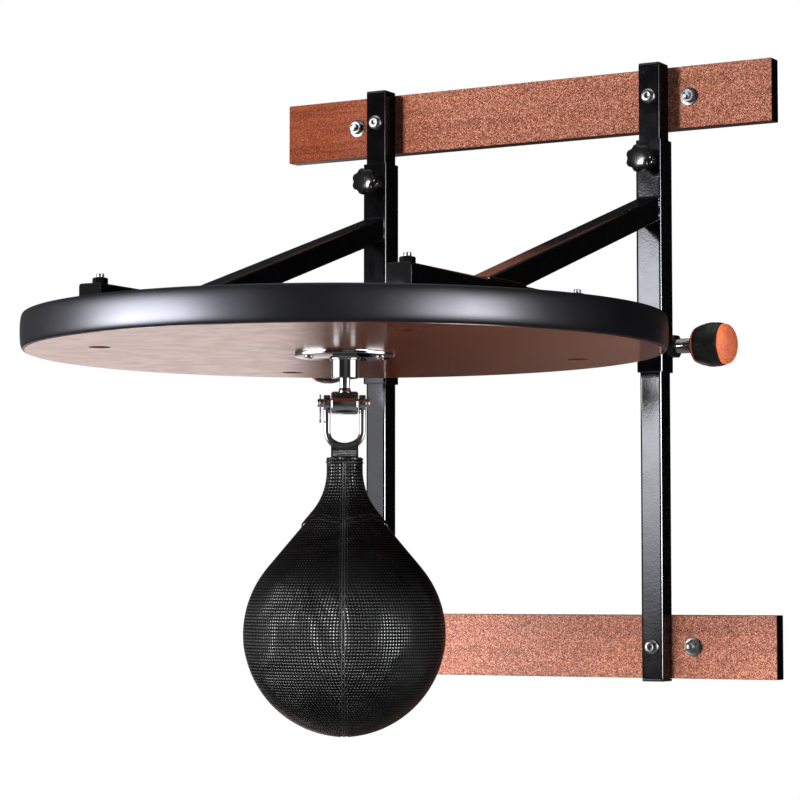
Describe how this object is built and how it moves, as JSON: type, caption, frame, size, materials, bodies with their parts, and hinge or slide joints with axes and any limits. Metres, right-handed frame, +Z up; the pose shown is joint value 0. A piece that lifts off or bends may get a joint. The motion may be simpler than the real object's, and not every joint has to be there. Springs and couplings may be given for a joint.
{
  "type": "speed bag platform",
  "caption": "Wall-mounted speed bag platform: round rebound board on braced arms that slide on square posts, with index pins, clamp knobs, a bearing swivel, shackle and inflatable bag.",
  "frame": {"origin": "centre of the upper wall board's back face, on the wall plane", "axes": "+Y into the wall, +Z up, +X along the wall, right as seen from the room"},
  "size_m": [0.63, 0.7088, 0.7046],
  "materials": {
    "board_laminate": "red-brown woodgrain laminate with black edge banding",
    "platform_laminate": "glossy dark brown laminate",
    "rim_rubber": "satin",
    "black_steel": "gloss powder coat",
    "zinc_hardware": "bright zinc plate",
    "chrome": "polished",
    "spring_steel": "satin",
    "black_plastic": "moulded",
    "gloss_black_plastic": "gloss",
    "orange_plastic": "moulded",
    "bag_leather": "embossed",
    "bag_webbing": "woven",
    "bladder_rubber": "plain latex"
  },
  "bodies": {
    "wall_frame": {"left_post": "black_steel", "left_post_bottom_cap": "black_plastic", "left_post_top_cap": "black_plastic", "lower_left_post_bolt": "zinc_hardware", "lower_left_wall_bolt": "zinc_hardware", "lower_right_post_bolt": "zinc_hardware", "lower_right_wall_bolt": "zinc_hardware", "lower_wall_board": "board_laminate", "right_post": "black_steel", "right_post_bottom_cap": "black_plastic", "right_post_top_cap": "black_plastic", "upper_left_post_bolt": "zinc_hardware", "upper_left_wall_bolt": "zinc_hardware", "upper_right_post_bolt": "zinc_hardware", "upper_right_wall_bolt": "zinc_hardware", "upper_wall_board": "board_laminate"},
    "carriage": {"front_left_platform_bolt": "zinc_hardware", "front_right_platform_bolt": "zinc_hardware", "left_arm": "black_steel", "left_arm_end_cap": "black_plastic", "left_brace": "black_steel", "left_flange_screw": "chrome", "left_knob_nut": "zinc_hardware", "left_pin_housing": "chrome", "left_pin_spring": "spring_steel", "left_sleeve": "black_steel", "platform_board": "platform_laminate", "platform_rim": "rim_rubber", "rear_flange_screw": "chrome", "rear_left_platform_bolt": "zinc_hardware", "rear_right_platform_bolt": "zinc_hardware", "right_arm": "black_steel", "right_arm_end_cap": "black_plastic", "right_brace": "black_steel", "right_flange_screw": "chrome", "right_knob_nut": "zinc_hardware", "right_pin_housing": "chrome", "right_pin_spring": "spring_steel", "right_sleeve": "black_steel", "swivel_bearing": "zinc_hardware", "swivel_housing": "chrome"},
    "swivel": {"swivel_stem": "chrome", "swivel_crosshead": "chrome", "shackle_pin": "chrome", "retaining_clip": "spring_steel"},
    "shackle": {"shackle": "chrome"},
    "bag": {"bag_loop": "bag_webbing", "bag_cover": "bag_leather", "bladder": "bladder_rubber"},
    "left_pull_pin": {"left_plunger": "zinc_hardware", "left_pull_grip": "black_plastic", "left_pull_knob": "orange_plastic"},
    "left_clamp_stud": {"left_knob_stud": "zinc_hardware"},
    "left_clamp_knob": {"left_star_knob": "gloss_black_plastic"},
    "right_pull_pin": {"right_plunger": "zinc_hardware", "right_pull_grip": "black_plastic", "right_pull_knob": "orange_plastic"},
    "right_clamp_stud": {"right_knob_stud": "zinc_hardware"},
    "right_clamp_knob": {"right_star_knob": "gloss_black_plastic"}
  },
  "joints": [
    {"name": "carriage_slide", "type": "slide", "parent": "wall_frame", "child": "carriage", "axis": [0, 0, 1], "range_m": [-0.24, 0]},
    {"name": "left_pin_pull", "type": "slide", "parent": "carriage", "child": "left_pull_pin", "axis": [-1, 0, 0], "range_m": [-0.006, 0.01], "deforming": ["left_pin_spring"]},
    {"name": "left_clamp_travel", "type": "slide", "parent": "carriage", "child": "left_clamp_stud", "axis": [0, -1, 0], "range_m": [0, 0.0025]},
    {"name": "left_clamp_turn", "type": "hinge", "parent": "left_clamp_stud", "child": "left_clamp_knob", "pos_m": [-0.168, -0.0673, -0.07], "axis": [0, -1, 0], "range_deg": [-1, 721]},
    {"name": "right_pin_pull", "type": "slide", "parent": "carriage", "child": "right_pull_pin", "axis": [1, 0, 0], "range_m": [-0.006, 0.01], "deforming": ["right_pin_spring"]},
    {"name": "right_clamp_travel", "type": "slide", "parent": "carriage", "child": "right_clamp_stud", "axis": [0, -1, 0], "range_m": [0, 0.0025]},
    {"name": "right_clamp_turn", "type": "hinge", "parent": "right_clamp_stud", "child": "right_clamp_knob", "pos_m": [0.168, -0.0673, -0.07], "axis": [0, -1, 0], "range_deg": [-1, 721]},
    {"name": "swivel_spin", "type": "hinge", "parent": "carriage", "child": "swivel", "pos_m": [0, -0.3938, -0.2943], "axis": [0, 0, 1], "continuous": true},
    {"name": "shackle_swing", "type": "hinge", "parent": "swivel", "child": "shackle", "pos_m": [0, -0.3938, -0.3433], "axis": [0.866, 0.5, 0], "range_deg": [-61, 61]},
    {"name": "bag_swing", "type": "hinge", "parent": "shackle", "child": "bag", "pos_m": [0, -0.3938, -0.3849], "axis": [0.866, 0.5, 0], "range_deg": [-16, 16]}
  ],
  "couplings": [
    {"joint": "left_clamp_turn", "follows": "left_clamp_travel", "rad_per_m": 5026.5},
    {"joint": "right_clamp_turn", "follows": "right_clamp_travel", "rad_per_m": 5026.5}
  ]
}
